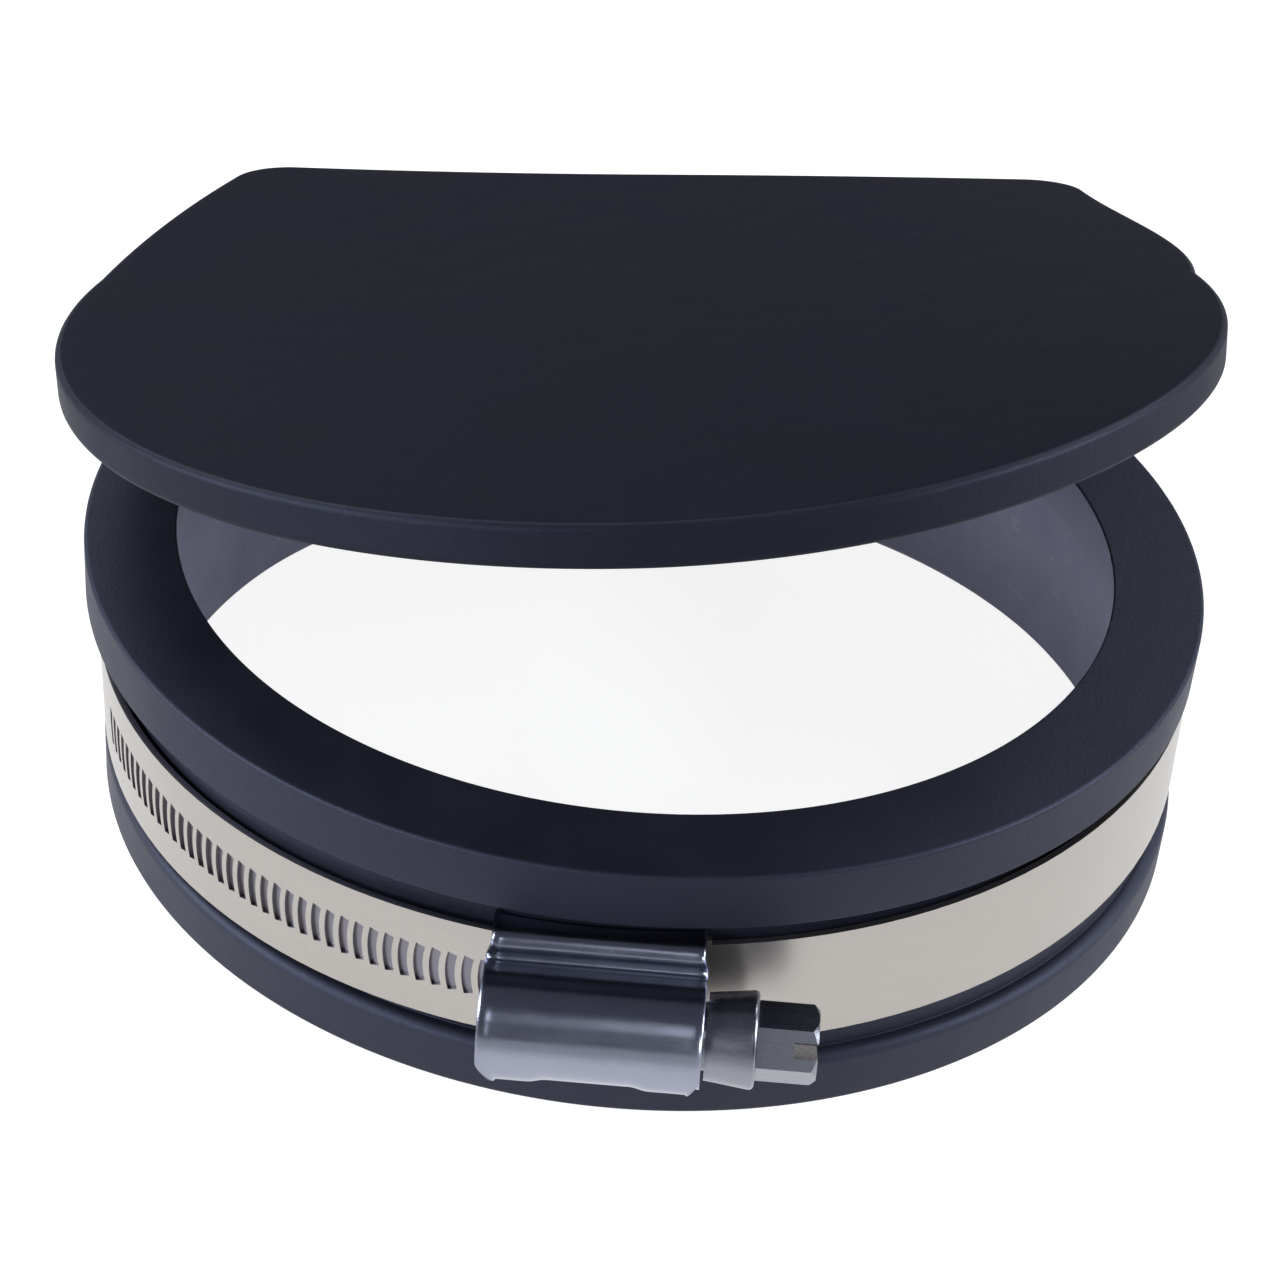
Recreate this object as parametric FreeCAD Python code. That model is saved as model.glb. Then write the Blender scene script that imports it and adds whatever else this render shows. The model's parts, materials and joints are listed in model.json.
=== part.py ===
import FreeCAD, Part
import os
from math import acos, asin, atan2, cos, degrees, hypot, pi, radians, sin, sqrt
from FreeCAD import Placement, Rotation, Vector

# Rubber flap valve for the end of a pipe, held on by a worm-drive band clamp.
# Millimetres. The origin is the centre of the cuff's bottom face and +Z runs up
# the bore towards the flap. The hinge is on the +Y side and the clamp's screw
# on the -Y side, with its head pointing to +X.

# --- Cuff: one rubber ring with a groove for the band ---
bore_r = 57.15         # pipe seat, for a pipe of 114.3 outside diameter
seat_top = 22.6        # pipe seat ends here
wall_t = 4.15          # pipe seat to the floor of the band groove
lip_step = 2.2         # lip beyond the groove floor
lip_top = 31.3
lip_low = 24.9         # underside of the lip, top of the band groove
stop_step = 3.85       # lip inward of the pipe seat: the pipe stops under it
relief_step = 1.2      # undercut outward of the pipe seat, below the lip
relief_h = 2.3
flange_step = 1.6      # lower flange beyond the groove floor
flange_top = 6.4       # top of the lower flange, bottom of the band groove
flange_edge_r = 1.2    # rounding of the flange's upper corner
lead_in = 1.0          # chamfer at the pipe's way in
rubber_edge_r = 0.8    # rounding of the outer rubber corners

# --- Flap: a D-shaped rubber plate ---
flap_lap = 1.25        # round front beyond the lip
flap_t = 4.6
flap_corner_in = 9.1   # back corners, before rounding, inward of the round front's sides
flap_corner_r = 6.0
flap_edge_r = 0.7      # rounding of the plate's rims
flap_x = -3.55         # centre of the round front when the flap is closed
flap_y = 5.0
seal_gap = 0.3         # plate to lip when closed

# --- Hinge: a lug on the cuff and a thin rubber strap ---
hinge_set_back = 7.5   # line that the strap bends along, behind the lip
web_reach = 4.0        # that line to the plate's back edge
strap_w = 80.0
strap_t = 2.4
strap_gap = 0.2        # strap to lug, and strap to plate
lug_top = 28.9
lug_margin = 2.0       # lug beyond the strap, on three sides
lug_corner_r = 4.0
open_deg = 10.3        # opening of the flap at rest
twist_deg = 6.35       # roll that the strap gives the flap at rest
twist_in = 2.3         # line about which it rolls, in from the flap's left rim

# --- Band ---
band_w = 13.0
band_t = 0.7
band_gap = 0.3         # band to groove floor
lap_gap = 0.05         # outer layer of the band to the inner one
band_z = 15.4          # middle of the band
clamp_turn = -1.3      # screw's place round the cuff, from the -Y direction
clamp_tilt = 1.6       # the band sits a little higher on the +X side
strip_end_deg = 290.0  # inner layer ends here, turning from the -Y direction
tail_start_deg = -120.0
tail_tip = 10.2        # free end past the middle of the housing
tail_corner = 2.5
first_groove = -42     # grooves are numbered from the middle of the housing
last_groove = 5
groove_len = 4.7
groove_w = 1.05
groove_depth = 0.4
groove_bow_r = 9.0     # each groove is bent to this radius

# --- Worm screw ---
pitch = 1.75
thread_r = 4.8
core_r = 4.1
thread_tip_w = 0.5
thread_root_w = 1.1
thread_turns = 10
thread_sink = 0.1      # ridge into the core, so that they are one solid
bite = 0.3             # thread into the grooves
neck_r = 3.4
pilot_r = 2.4
fit_gap = 0.05         # neck and pilot in their holes
collar_r = 4.35        # at the housing
collar_head_r = 4.95   # at the hexagon
collar_len = 5.0
collar_edge_r = 0.5
hex_flats = 7.0
hex_len = 6.0
hex_chamfer = 0.6
slot_w = 1.6
slot_depth = 2.4
head_turn = -30.0      # from one flat of the hexagon facing straight out
end_float = 0.3        # collar to housing

# --- Housing: pressed sheet round the screw and the band ---
sheet = 0.6
screw_gap = 0.2        # thread to housing
side_gap = 0.6         # band edge to housing
shoulder_rise = 1.3    # flat shoulders above the band
house_left = -11.8
house_right = 10.4
lap_reach_deg = 18.0   # the housing's skirt ends within this angle of its middle
rim_len = 0.7          # rolled rims at both ends
rim_rise = 0.45        # half of it at the right end
shoulder_edge_r = 1.5  # outside of the bend along each shoulder

# --- Worked out from the sizes above ---
past = 1.0             # how far a cutting tool runs past a face
groove_r = bore_r + wall_t
lip_r = groove_r + lip_step
mouth_r = bore_r - stop_step
relief_r = bore_r + relief_step
relief_top = seat_top + relief_h
flange_r = groove_r + flange_step
hinge_y = lip_r + hinge_set_back
hinge_z = lip_top + seal_gap
flap_r = lip_r + flap_lap
flap_half_w = flap_r - flap_corner_in
flap_back = hinge_y - web_reach - flap_y
twist_x = flap_x - flap_r + twist_in
strip_r = groove_r + band_gap
strip_out_r = strip_r + band_t
tail_r = strip_out_r + lap_gap
tail_out_r = tail_r + band_t
axis_r = tail_out_r + thread_r - bite
cavity_r = thread_r + screw_gap
barrel_r = cavity_r + sheet
shoulder_r = tail_out_r + shoulder_rise
inner_half_w = band_w / 2 + side_gap
outer_half_w = inner_half_w + sheet
thread_len = thread_turns * pitch
thread_from = -thread_len / 2

X = Vector(1, 0, 0)
Y = Vector(0, 1, 0)
Z = Vector(0, 0, 1)


def rounded_loop(corners, plane="XY"):
    """Closed wire through (a, b, radius) corners, each rounded by its radius."""
    lift = {"XY": lambda a, b: Vector(a, b, 0), "XZ": lambda a, b: Vector(a, 0, b)}[plane]
    edges = []
    ends = []
    for i, (a, b, radius) in enumerate(corners):
        here = lift(a, b)
        before = lift(*corners[i - 1][:2])
        after = lift(*corners[(i + 1) % len(corners)][:2])
        to_before = (before - here).normalize()
        to_after = (after - here).normalize()
        if radius == 0:
            ends.append((here, here))
            edges.append(None)
            continue
        half = to_before.getAngle(to_after) / 2
        set_back = radius / (sin(half) / cos(half))
        start = here + to_before * set_back
        stop = here + to_after * set_back
        inward = (to_before + to_after).normalize()
        middle = here + inward * (radius / sin(half) - radius)
        ends.append((start, stop))
        edges.append(Part.Arc(start, middle, stop).toShape())
    loop = []
    for i, (start, _) in enumerate(ends):
        previous = ends[i - 1][1]
        if previous.distanceToPoint(start) > 1e-6:
            loop.append(Part.LineSegment(previous, start).toShape())
        if edges[i] is not None:
            loop.append(edges[i])
    return Part.Wire(loop)


def sector(inner, outer, width, from_deg, to_deg):
    """Part of a ring about Z, centred on z = 0, turning from the -Y direction."""
    sweep = to_deg - from_deg
    foot = Vector(0, 0, -width / 2)
    ring = Part.makeCylinder(outer, width, foot, Z, sweep).cut(
        Part.makeCylinder(inner, width, foot, Z, sweep))
    ring.rotate(Vector(), Z, from_deg - 90)
    return ring


def rod(radius, start, stop, end_r=None):
    """Cylinder, or cone, about the screw's axis between two places along it."""
    foot = Vector(start, -axis_r, 0)
    if end_r is None:
        return Part.makeCylinder(radius, stop - start, foot, X)
    return Part.makeCone(radius, end_r, stop - start, foot, X)


def block(x, y, z):
    """Box from three (low, high) pairs."""
    return Part.makeBox(x[1] - x[0], y[1] - y[0], z[1] - z[0], Vector(x[0], y[0], z[0]))


def upright(radius):
    """Cylinder about Z, taller than the housing, to cut the band's room from it."""
    reach = outer_half_w + rim_rise + past
    return Part.makeCylinder(radius, 2 * reach, Vector(0, 0, -reach))


def on_cuff(shape):
    """Move a clamp piece from its own frame to its place on the cuff."""
    tilt = Placement(Vector(0, 0, band_z), Rotation(Y, -clamp_tilt))
    turn = Placement(Vector(), Rotation(Z, clamp_turn))
    shape.Placement = tilt.multiply(turn).multiply(shape.Placement)
    return shape


def opened():
    """Rest opening of the flap about the hinge line."""
    line = Vector(0, hinge_y, hinge_z)
    return Placement(Vector(), Rotation(X, -open_deg), line)


def flap_at_rest():
    """Rest place of the flap: rolled about the twist line, then opened."""
    line = Vector(twist_x, hinge_y, hinge_z)
    return opened().multiply(Placement(Vector(), Rotation(Y, -twist_deg), line))


def make_cuff():
    """Ring with its lip, band groove, lower flange and hinge lug."""
    e = rubber_edge_r
    profile = rounded_loop([
        (bore_r + lead_in, 0, 0),
        (flange_r, 0, e),
        (flange_r, flange_top, flange_edge_r),
        (groove_r, flange_top, e / 4),
        (groove_r, lip_low, e / 4),
        (lip_r, lip_low, e / 2),
        (lip_r, lip_top, e),
        (mouth_r, lip_top, e / 2),
        (mouth_r, relief_top, e / 2),
        (relief_r, relief_top, e / 4),
        (relief_r, seat_top, e / 4),
        (bore_r, seat_top, e / 2),
        (bore_r, lead_in, 0),
    ], "XZ")
    ring = Part.Face(profile).revolve(Vector(), Z, 360)
    half = strap_w / 2 + lug_margin
    back = hinge_y + strap_t / 2 + lug_margin
    plan = rounded_loop([
        (flap_x - half, 0, 0),
        (flap_x + half, 0, 0),
        (flap_x + half, back, lug_corner_r),
        (flap_x - half, back, lug_corner_r),
    ])
    lug = Part.Face(plan).extrude(Z * (lug_top - lip_low))
    lug.translate(Z * lip_low)
    keep_clear = (relief_r + lip_r) / 2
    lug = lug.cut(Part.makeCylinder(keep_clear, lip_top))
    return ring.fuse(lug).removeSplitter()


def flap_outline():
    """Round front, two straight flanks that run off it, and a straight back edge."""
    reach = hypot(flap_half_w, flap_back)
    leave = atan2(flap_back, flap_half_w) - acos(flap_r / reach)
    right = Vector(flap_r * cos(leave), flap_r * sin(leave), 0)
    left = Vector(-right.x, right.y, 0)
    front = Vector(0, -flap_r, 0)
    corner = Vector(flap_half_w, flap_back, 0)
    flank = (right - corner).normalize()
    half = flank.getAngle(X * -1) / 2
    set_back = flap_corner_r * cos(half) / sin(half)
    bend_from = corner + flank * set_back
    bend_to = corner - X * set_back
    inward = (flank - X).normalize()
    bend_mid = corner + inward * (flap_corner_r / sin(half) - flap_corner_r)

    def mirror(p):
        return Vector(-p.x, p.y, 0)

    return Part.Wire([
        Part.Arc(left, front, right).toShape(),
        Part.LineSegment(right, bend_from).toShape(),
        Part.Arc(bend_from, bend_mid, bend_to).toShape(),
        Part.LineSegment(bend_to, mirror(bend_to)).toShape(),
        Part.Arc(mirror(bend_to), mirror(bend_mid), mirror(bend_from)).toShape(),
        Part.LineSegment(mirror(bend_from), left).toShape(),
    ])


def make_flap():
    """Plate with rounded rims, at its rest opening."""
    plate = Part.Face(flap_outline()).extrude(Z * flap_t)
    rims = [e for e in plate.Edges if abs(e.tangentAt(e.FirstParameter).z) < 0.5]
    plate = plate.makeFillet(flap_edge_r, rims)
    plate.translate(Vector(flap_x, flap_y, hinge_z))
    plate.Placement = flap_at_rest().multiply(plate.Placement)
    return plate


def strap_section(x):
    """Outline of the strap across the hinge, at one place along it."""
    half = strap_t / 2
    rest = flap_at_rest()
    edge_y = flap_y + flap_back + strap_gap
    lower = rest.multVec(Vector(x, edge_y, hinge_z + flap_edge_r))
    upper = rest.multVec(Vector(x, edge_y, hinge_z + flap_edge_r + strap_t))
    foot = lug_top + strap_gap
    points = [
        (hinge_y - half, foot),
        (hinge_y + half, foot),
        (hinge_y + half, hinge_z + half),
        (upper.y, upper.z),
        (lower.y, lower.z),
        (hinge_y - half, hinge_z - half),
    ]
    loop = [Vector(x, y, z) for y, z in points]
    return Part.makePolygon(loop + loop[:1])


def make_hinge_strap():
    """Thin web from the lug up and forward to the plate's back edge."""
    ends = [strap_section(flap_x - strap_w / 2), strap_section(flap_x + strap_w / 2)]
    return Part.makeLoft(ends, True, True)


def make_band_strip():
    """Plain inner layer of the band, from the saddle round the cuff."""
    start = degrees(asin(house_right / strip_r))
    return on_cuff(sector(strip_r, strip_out_r, band_w, start, strip_end_deg))


def groove_cutter():
    """Bent slot through the band's outer face, at the -Y side."""
    far = groove_bow_r + groove_w / 2
    near = groove_bow_r - groove_w / 2
    half = degrees(asin(groove_len / 2 / groove_bow_r))
    foot = Vector(groove_bow_r, -(tail_out_r - groove_depth), 0)
    tool = Part.makeCylinder(far, past, Vector(), Z, 2 * half).cut(
        Part.makeCylinder(near, past, Vector(), Z, 2 * half))
    tool.rotate(Vector(), Z, 180 - half)
    tool.rotate(Vector(), X, 90)
    tool.translate(foot)
    return tool


def make_band_tail():
    """Grooved outer layer of the band, which the screw pulls through the housing."""
    tip = degrees(tail_tip / tail_out_r)
    tail = sector(tail_r, tail_out_r, band_w, tail_start_deg, tip)
    half = band_w / 2
    corners = []
    for side in (-1, 1):
        reach = sqrt(2) * tail_corner
        wedge = block((-reach / 2, reach / 2), (-tail_out_r - past, -tail_r + past), (-reach / 2, reach / 2))
        wedge.rotate(Vector(), Y, 45)
        wedge.translate(Vector(0, 0, side * half))
        wedge.rotate(Vector(), Z, tip)
        corners.append(wedge)
    cutters = []
    for number in range(first_groove, last_groove + 1):
        cutter = groove_cutter()
        cutter.rotate(Vector(), Z, degrees(number * pitch / tail_out_r))
        cutters.append(cutter)
    return on_cuff(tail.cut(Part.makeCompound(corners + cutters)))


def make_saddle():
    """Curved floor of the housing, in line with the inner layer of the band."""
    start = -degrees(asin((-house_left - rim_len) / strip_r))
    stop = degrees(asin(house_right / strip_r))
    return on_cuff(sector(strip_r, strip_out_r, 2 * inner_half_w, start, stop))


def channel(start, stop, top, half, bend_r):
    """Solid filling of a pressed channel over the band, with its two long bends rounded."""
    fill = block((start, stop), (-top, -groove_r * cos(radians(lap_reach_deg))), (-half, half))
    bends = [e for e in fill.Edges
             if e.CenterOfMass.y < -top + bend_r / 2 and abs(e.CenterOfMass.z) > half - bend_r / 2]
    return fill.makeFillet(bend_r, bends)


def house_form(grow, start, stop):
    """Outer form of the housing, grown all round, between two places along it."""
    base = channel(start, stop, shoulder_r + grow, outer_half_w + grow, shoulder_edge_r + grow)
    return base.fuse(rod(barrel_r + grow, start, stop))


def make_housing():
    """Pressed shell: two shoulders over the band and a barrel round the screw."""
    form = house_form(0, house_left, house_right)
    form = form.fuse(house_form(rim_rise, house_left, house_left + rim_len))
    form = form.fuse(house_form(rim_rise / 2, house_right - rim_len, house_right))
    form = form.cut(upright(strip_r))
    left_wall = house_left + rim_len
    right_wall = house_right - sheet
    passage = channel(house_left - past, house_right + past, shoulder_r - sheet, inner_half_w,
                      shoulder_edge_r - sheet)
    hollow = rod(cavity_r, left_wall + sheet, right_wall)
    mouth = rod(cavity_r, house_left - past, left_wall)
    hole = rod(neck_r + fit_gap, right_wall - past, house_right + past)
    pilot_hole = rod(pilot_r + fit_gap, left_wall - past, left_wall + sheet + past)
    walls = rod(cavity_r, left_wall, left_wall + sheet).fuse(rod(cavity_r, right_wall, house_right))
    walls = walls.cut(upright(tail_out_r + side_gap)).cut(hole).cut(pilot_hole)
    shell = form.cut(passage).cut(hollow).cut(mouth).cut(hole).cut(pilot_hole)
    return on_cuff(shell.fuse(walls).removeSplitter())


def make_thread():
    """Helical ridge, with a crest facing the band at every whole pitch."""
    root = core_r - thread_sink
    helix = Part.makeHelix(pitch, thread_len, root)
    outline = Part.makePolygon([
        Vector(root, 0, -thread_root_w / 2),
        Vector(thread_r, 0, -thread_tip_w / 2),
        Vector(thread_r, 0, thread_tip_w / 2),
        Vector(root, 0, thread_root_w / 2),
        Vector(root, 0, -thread_root_w / 2),
    ])
    ridge = Part.Wire(helix).makePipeShell([outline], True, True)
    # The helix rises along Z from +X: turn Z to the screw's axis and X towards the band.
    swing = Rotation(Y, Z, X)
    ridge.Placement = Placement(Vector(thread_from, -axis_r, 0), swing)
    return ridge


def make_screw():
    """Worm, neck, collar and slotted hexagon head, with a pilot at the far end."""
    left_wall = house_left + rim_len
    right_wall = house_right - sheet
    collar_from = house_right + end_float
    hex_from = collar_from + collar_len
    hex_to = hex_from + hex_len
    worm_to = thread_from + thread_len + thread_root_w / 2
    body = rod(core_r, thread_from - thread_root_w / 2, min(worm_to, right_wall - end_float))
    body = body.fuse(rod(pilot_r, left_wall, thread_from))
    body = body.fuse(rod(neck_r, thread_from + thread_len, collar_from))
    collar = rod(collar_r, collar_from, hex_from, collar_head_r)
    shoulder = [e for e in collar.Edges if abs(e.CenterOfMass.x - hex_from) < collar_edge_r]
    body = body.fuse(collar.makeFillet(collar_edge_r, shoulder))
    corner_r = hex_flats / 2 / cos(pi / 6)
    corners = [Vector(hex_from, -axis_r + corner_r * cos(a), corner_r * sin(a))
               for a in (pi / 6 + i * pi / 3 for i in range(7))]
    head = Part.Face(Part.makePolygon(corners)).extrude(X * hex_len)
    nose = rod(corner_r, hex_from, hex_to - hex_chamfer).fuse(
        rod(corner_r, hex_to - hex_chamfer, hex_to, corner_r - hex_chamfer))
    slot = block((hex_to - slot_depth, hex_to + past),
                 (-axis_r - corner_r - past, -axis_r + corner_r + past), (-slot_w / 2, slot_w / 2))
    head = head.common(nose).cut(slot)
    head.rotate(Vector(0, -axis_r, 0), X, head_turn)
    return on_cuff(body.fuse(head).fuse(make_thread()).removeSplitter())


def report_joints():
    """Print the joint lines and the worm's ratio in metres and radians."""
    place = on_cuff(Part.makeBox(1, 1, 1)).Placement
    foot = place.multVec(Vector(0, -axis_r, 0))
    way = place.Rotation.multVec(X)
    up = place.Rotation.multVec(Z)
    roll = opened().Rotation.multVec(Y) * -1
    print("screw_turn pos", [round(v / 1000, 7) for v in foot], "axis", [round(v, 7) for v in way])
    print("tail_travel pos", [0, 0, band_z / 1000], "axis", [round(v, 7) for v in up])
    print("flap_hinge pos", [0, hinge_y / 1000, hinge_z / 1000], "axis", [-1, 0, 0])
    print("flap_twist pos", [twist_x / 1000, hinge_y / 1000, hinge_z / 1000],
          "axis", [round(v, 7) for v in roll])
    print("ratio", round(-pitch / (2 * pi * (tail_out_r - bite / 2)), 8))


def main():
    """Build every piece, check that it is one sound solid, and write it out."""
    os.makedirs("parts", exist_ok=True)
    makers = {
        "cuff": make_cuff,
        "hinge_strap": make_hinge_strap,
        "flap": make_flap,
        "band_strip": make_band_strip,
        "band_tail": make_band_tail,
        "clamp_saddle": make_saddle,
        "clamp_housing": make_housing,
        "worm_screw": make_screw,
    }
    for name, make in makers.items():
        shape = make()
        solids = shape.Solids
        box = shape.BoundBox
        print(name, "solids", len(solids), "valid", shape.isValid(), "volume", round(shape.Volume, 1),
              "x", round(box.XMin, 2), round(box.XMax, 2), "y", round(box.YMin, 2),
              round(box.YMax, 2), "z", round(box.ZMin, 2), round(box.ZMax, 2))
        shape.exportStep("parts/" + name + ".step")
    report_joints()


main()
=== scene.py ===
"""Rubber flap valve for a pipe's end: moulded rubber, band clamp, finishes, studio and camera."""
import json
import logging
import math
from collections.abc import Callable, Mapping, Sequence
from dataclasses import dataclass, field
from enum import Enum

import bmesh
import bpy
from mathutils import Matrix, Vector


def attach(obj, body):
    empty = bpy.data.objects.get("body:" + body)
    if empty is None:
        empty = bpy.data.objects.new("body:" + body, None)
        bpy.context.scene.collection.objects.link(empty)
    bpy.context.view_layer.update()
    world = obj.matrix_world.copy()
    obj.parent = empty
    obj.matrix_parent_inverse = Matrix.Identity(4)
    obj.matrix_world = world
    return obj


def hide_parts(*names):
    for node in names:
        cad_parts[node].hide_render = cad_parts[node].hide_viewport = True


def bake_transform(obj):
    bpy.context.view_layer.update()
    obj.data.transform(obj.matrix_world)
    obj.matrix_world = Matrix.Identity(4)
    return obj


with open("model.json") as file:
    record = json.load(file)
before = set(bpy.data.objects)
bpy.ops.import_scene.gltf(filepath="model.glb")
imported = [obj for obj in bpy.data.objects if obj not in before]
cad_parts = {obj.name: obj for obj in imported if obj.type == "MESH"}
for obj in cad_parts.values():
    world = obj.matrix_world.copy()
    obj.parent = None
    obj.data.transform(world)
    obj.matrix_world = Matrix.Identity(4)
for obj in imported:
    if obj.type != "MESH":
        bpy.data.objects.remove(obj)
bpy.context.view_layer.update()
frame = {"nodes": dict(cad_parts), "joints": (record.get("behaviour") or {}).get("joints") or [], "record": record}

LOG = logging.getLogger("flap_valve")
MM = 0.001
SKEW_PEAK = 27 / 4  # makes t (1 - t)^2 peak at 1
JOINTS = {joint["name"]: joint for joint in frame["joints"]}
MOUNTS = {mount["name"]: mount for mount in frame["record"]["mounts"]}

Colour = tuple[float, float, float]
Stops = tuple[tuple[float, float], ...]


class Body(Enum):
    """The bodies for the redrawn pieces, of which only the cuff's carries any."""

    CUFF = "cuff_body"
    WEB = "hinge_web"
    FLAP = "flap_body"


class Slot(Enum):
    """Names of the record's material slots for the rubber and the housing steel."""

    RUBBER = "rubber"
    HOUSING = "housing_steel"


@dataclass(frozen=True)
class Mottle:
    """One layer of soft random variation: features per metre, finer layers and their strength."""

    scale: float
    layers: float
    rough: float
    stretch: tuple[float, float, float] | None = None


class Sock:
    """A node socket that takes part in plain arithmetic on values."""

    def __init__(self, graph: "Graph", socket: bpy.types.NodeSocket) -> None:
        """Keep the socket with the graph that new Math nodes go in.

        Args:
            graph: The graph that owns the socket.
            socket: An output socket that carries a value, a colour or a vector.
        """
        self.graph = graph
        self.socket = socket

    def __add__(self, other: "Sock | float") -> "Sock":
        """Sum."""
        return self.graph.math("ADD", self, other)

    def __radd__(self, other: "Sock | float") -> "Sock":
        """Sum, with the number first."""
        return self.graph.math("ADD", other, self)

    def __sub__(self, other: "Sock | float") -> "Sock":
        """Difference."""
        return self.graph.math("SUBTRACT", self, other)

    def __rsub__(self, other: "Sock | float") -> "Sock":
        """Difference, with the number first."""
        return self.graph.math("SUBTRACT", other, self)

    def __mul__(self, other: "Sock | float") -> "Sock":
        """Product."""
        return self.graph.math("MULTIPLY", self, other)

    def __rmul__(self, other: "Sock | float") -> "Sock":
        """Product, with the number first."""
        return self.graph.math("MULTIPLY", other, self)

    def __truediv__(self, other: "Sock | float") -> "Sock":
        """Quotient."""
        return self.graph.math("DIVIDE", self, other)

    def __rtruediv__(self, other: "Sock | float") -> "Sock":
        """Quotient, with the number first."""
        return self.graph.math("DIVIDE", other, self)

    def clamp(self, low: float, high: float) -> "Sock":
        """The value held between two limits."""
        return self.graph.math("MINIMUM", self.graph.math("MAXIMUM", self, low), high)


class Graph:
    """A node tree under construction."""

    def __init__(self, tree: bpy.types.NodeTree) -> None:
        """Start from an empty tree.

        Args:
            tree: The material's or the world's own node tree.
        """
        self.tree = tree
        tree.nodes.clear()

    def feed(self, target: bpy.types.NodeSocket, value: object) -> None:
        """Link or set one input socket.

        Args:
            target: The input to feed.
            value: A Sock to link, or a constant to set.
        """
        if isinstance(value, Sock):
            self.tree.links.new(value.socket, target)
        elif isinstance(value, tuple) and len(value) == 3 and target.type == "RGBA":
            target.default_value = (*value, 1.0)
        else:
            target.default_value = value

    def node(
        self,
        kind: str,
        settings: Mapping[str, object] | None = None,
        inputs: Mapping[str | int, object] | None = None,
    ) -> bpy.types.Node:
        """Add one node.

        Args:
            kind: The node's type name.
            settings: Its own settings, such as an operation, or "stops" for a ramp.
            inputs: Values or links of its sockets, by name or number.

        Returns:
            The new node.
        """
        made = self.tree.nodes.new(kind)
        for key, value in (settings or {}).items():
            if key == "stops":
                self._stops(made.color_ramp, value)
            else:
                setattr(made, key, value)
        for key, value in (inputs or {}).items():
            self.feed(made.inputs[key], value)
        return made

    @staticmethod
    def _stops(ramp: bpy.types.ColorRamp, stops: Stops) -> None:
        """Set a grey ramp's stops.

        Args:
            ramp: The ramp to set.
            stops: Pairs of place and grey level, in order.
        """
        for i, (place, level) in enumerate(stops):
            stop = ramp.elements[i] if i < len(ramp.elements) else ramp.elements.new(place)
            stop.position = place
            stop.color = (level, level, level, 1.0)

    def math(self, operation: str, *values: "Sock | float") -> Sock:
        """One Math node.

        Args:
            operation: The node's operation.
            values: Its inputs, in order.

        Returns:
            Its result.
        """
        made = self.node("ShaderNodeMath", {"operation": operation}, dict(enumerate(values)))
        return Sock(self, made.outputs[0])

    def object_place(self) -> Sock:
        """The point on the surface, in metres, in the object's own frame."""
        return Sock(self, self.node("ShaderNodeTexCoord").outputs["Object"])

    def parts(self, vector: Sock) -> tuple[Sock, Sock, Sock]:
        """The three parts of a vector."""
        made = self.node("ShaderNodeSeparateXYZ", inputs={0: vector})
        return tuple(Sock(self, out) for out in made.outputs)

    def vector(self, x: "Sock | float", y: "Sock | float", z: "Sock | float") -> Sock:
        """A vector from three values."""
        made = self.node("ShaderNodeCombineXYZ", inputs={0: x, 1: y, 2: z})
        return Sock(self, made.outputs[0])

    def vector_math(self, operation: str, first: object, second: object, out: int = 0) -> Sock:
        """One Vector Math node.

        Args:
            operation: The node's operation.
            first: A vector or a link.
            second: A vector or a link.
            out: Number of the output to take: 0 for a vector, 1 for a value.

        Returns:
            Its result.
        """
        made = self.node("ShaderNodeVectorMath", {"operation": operation}, {0: first, 1: second})
        return Sock(self, made.outputs[out])

    def rays(self) -> tuple[Sock, Sock, Sock]:
        """Masks of the rays that look at the floor or the surround.

        Returns:
            The masks of the camera, glossy and transmission rays.
        """
        made = self.node("ShaderNodeLightPath")
        names = ("Is Camera Ray", "Is Glossy Ray", "Is Transmission Ray")
        return tuple(Sock(self, made.outputs[name]) for name in names)

    def noise(self, place: Sock, layer: Mottle) -> Sock:
        """Soft random variation from 0 to 1.

        Args:
            place: Where to sample it.
            layer: Its scale, finer layers, and what the place is multiplied by first.

        Returns:
            The value.
        """
        if layer.stretch:
            place = self.vector_math("MULTIPLY", place, layer.stretch)
        made = self.node(
            "ShaderNodeTexNoise",
            {"noise_dimensions": "3D"},
            {"Vector": place, "Scale": layer.scale, "Detail": layer.layers, "Roughness": layer.rough},
        )
        return Sock(self, made.outputs[0])

    def ramp(self, value: Sock, stops: Stops) -> Sock:
        """A value passed through a grey ramp."""
        made = self.node("ShaderNodeValToRGB", {"stops": stops}, {0: value})
        return Sock(self, made.outputs[0])

    def mix(self, share: "Sock | float", first: object, second: object) -> Sock:
        """Two colours mixed.

        Args:
            share: How much of the second, from 0 to 1.
            first: A colour or a link.
            second: A colour or a link.

        Returns:
            The mixed colour.
        """
        made = self.node("ShaderNodeMix", {"data_type": "RGBA"}, {0: share, 6: first, 7: second})
        return Sock(self, made.outputs[2])

    def bump(self, height: Sock, depth: float, under: Sock | None = None) -> Sock:
        """A normal bent by a height.

        Args:
            height: Height from 0 to 1.
            depth: What a height of 1 stands for, in metres.
            under: A normal that this one adds to.

        Returns:
            The bent normal.
        """
        inputs: dict[str | int, object] = {"Height": height, "Distance": depth, "Strength": 1.0}
        if under is not None:
            inputs["Normal"] = under
        return Sock(self, self.node("ShaderNodeBump", inputs=inputs).outputs[0])


def ease(value: float) -> float:
    """A value held between 0 and 1 and eased in and out."""
    t = min(max(value, 0.0), 1.0)
    return t * t * (3 - 2 * t)


def polar(angle: float) -> Vector:
    """The plan direction at an angle."""
    return Vector((math.cos(angle), math.sin(angle)))


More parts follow.
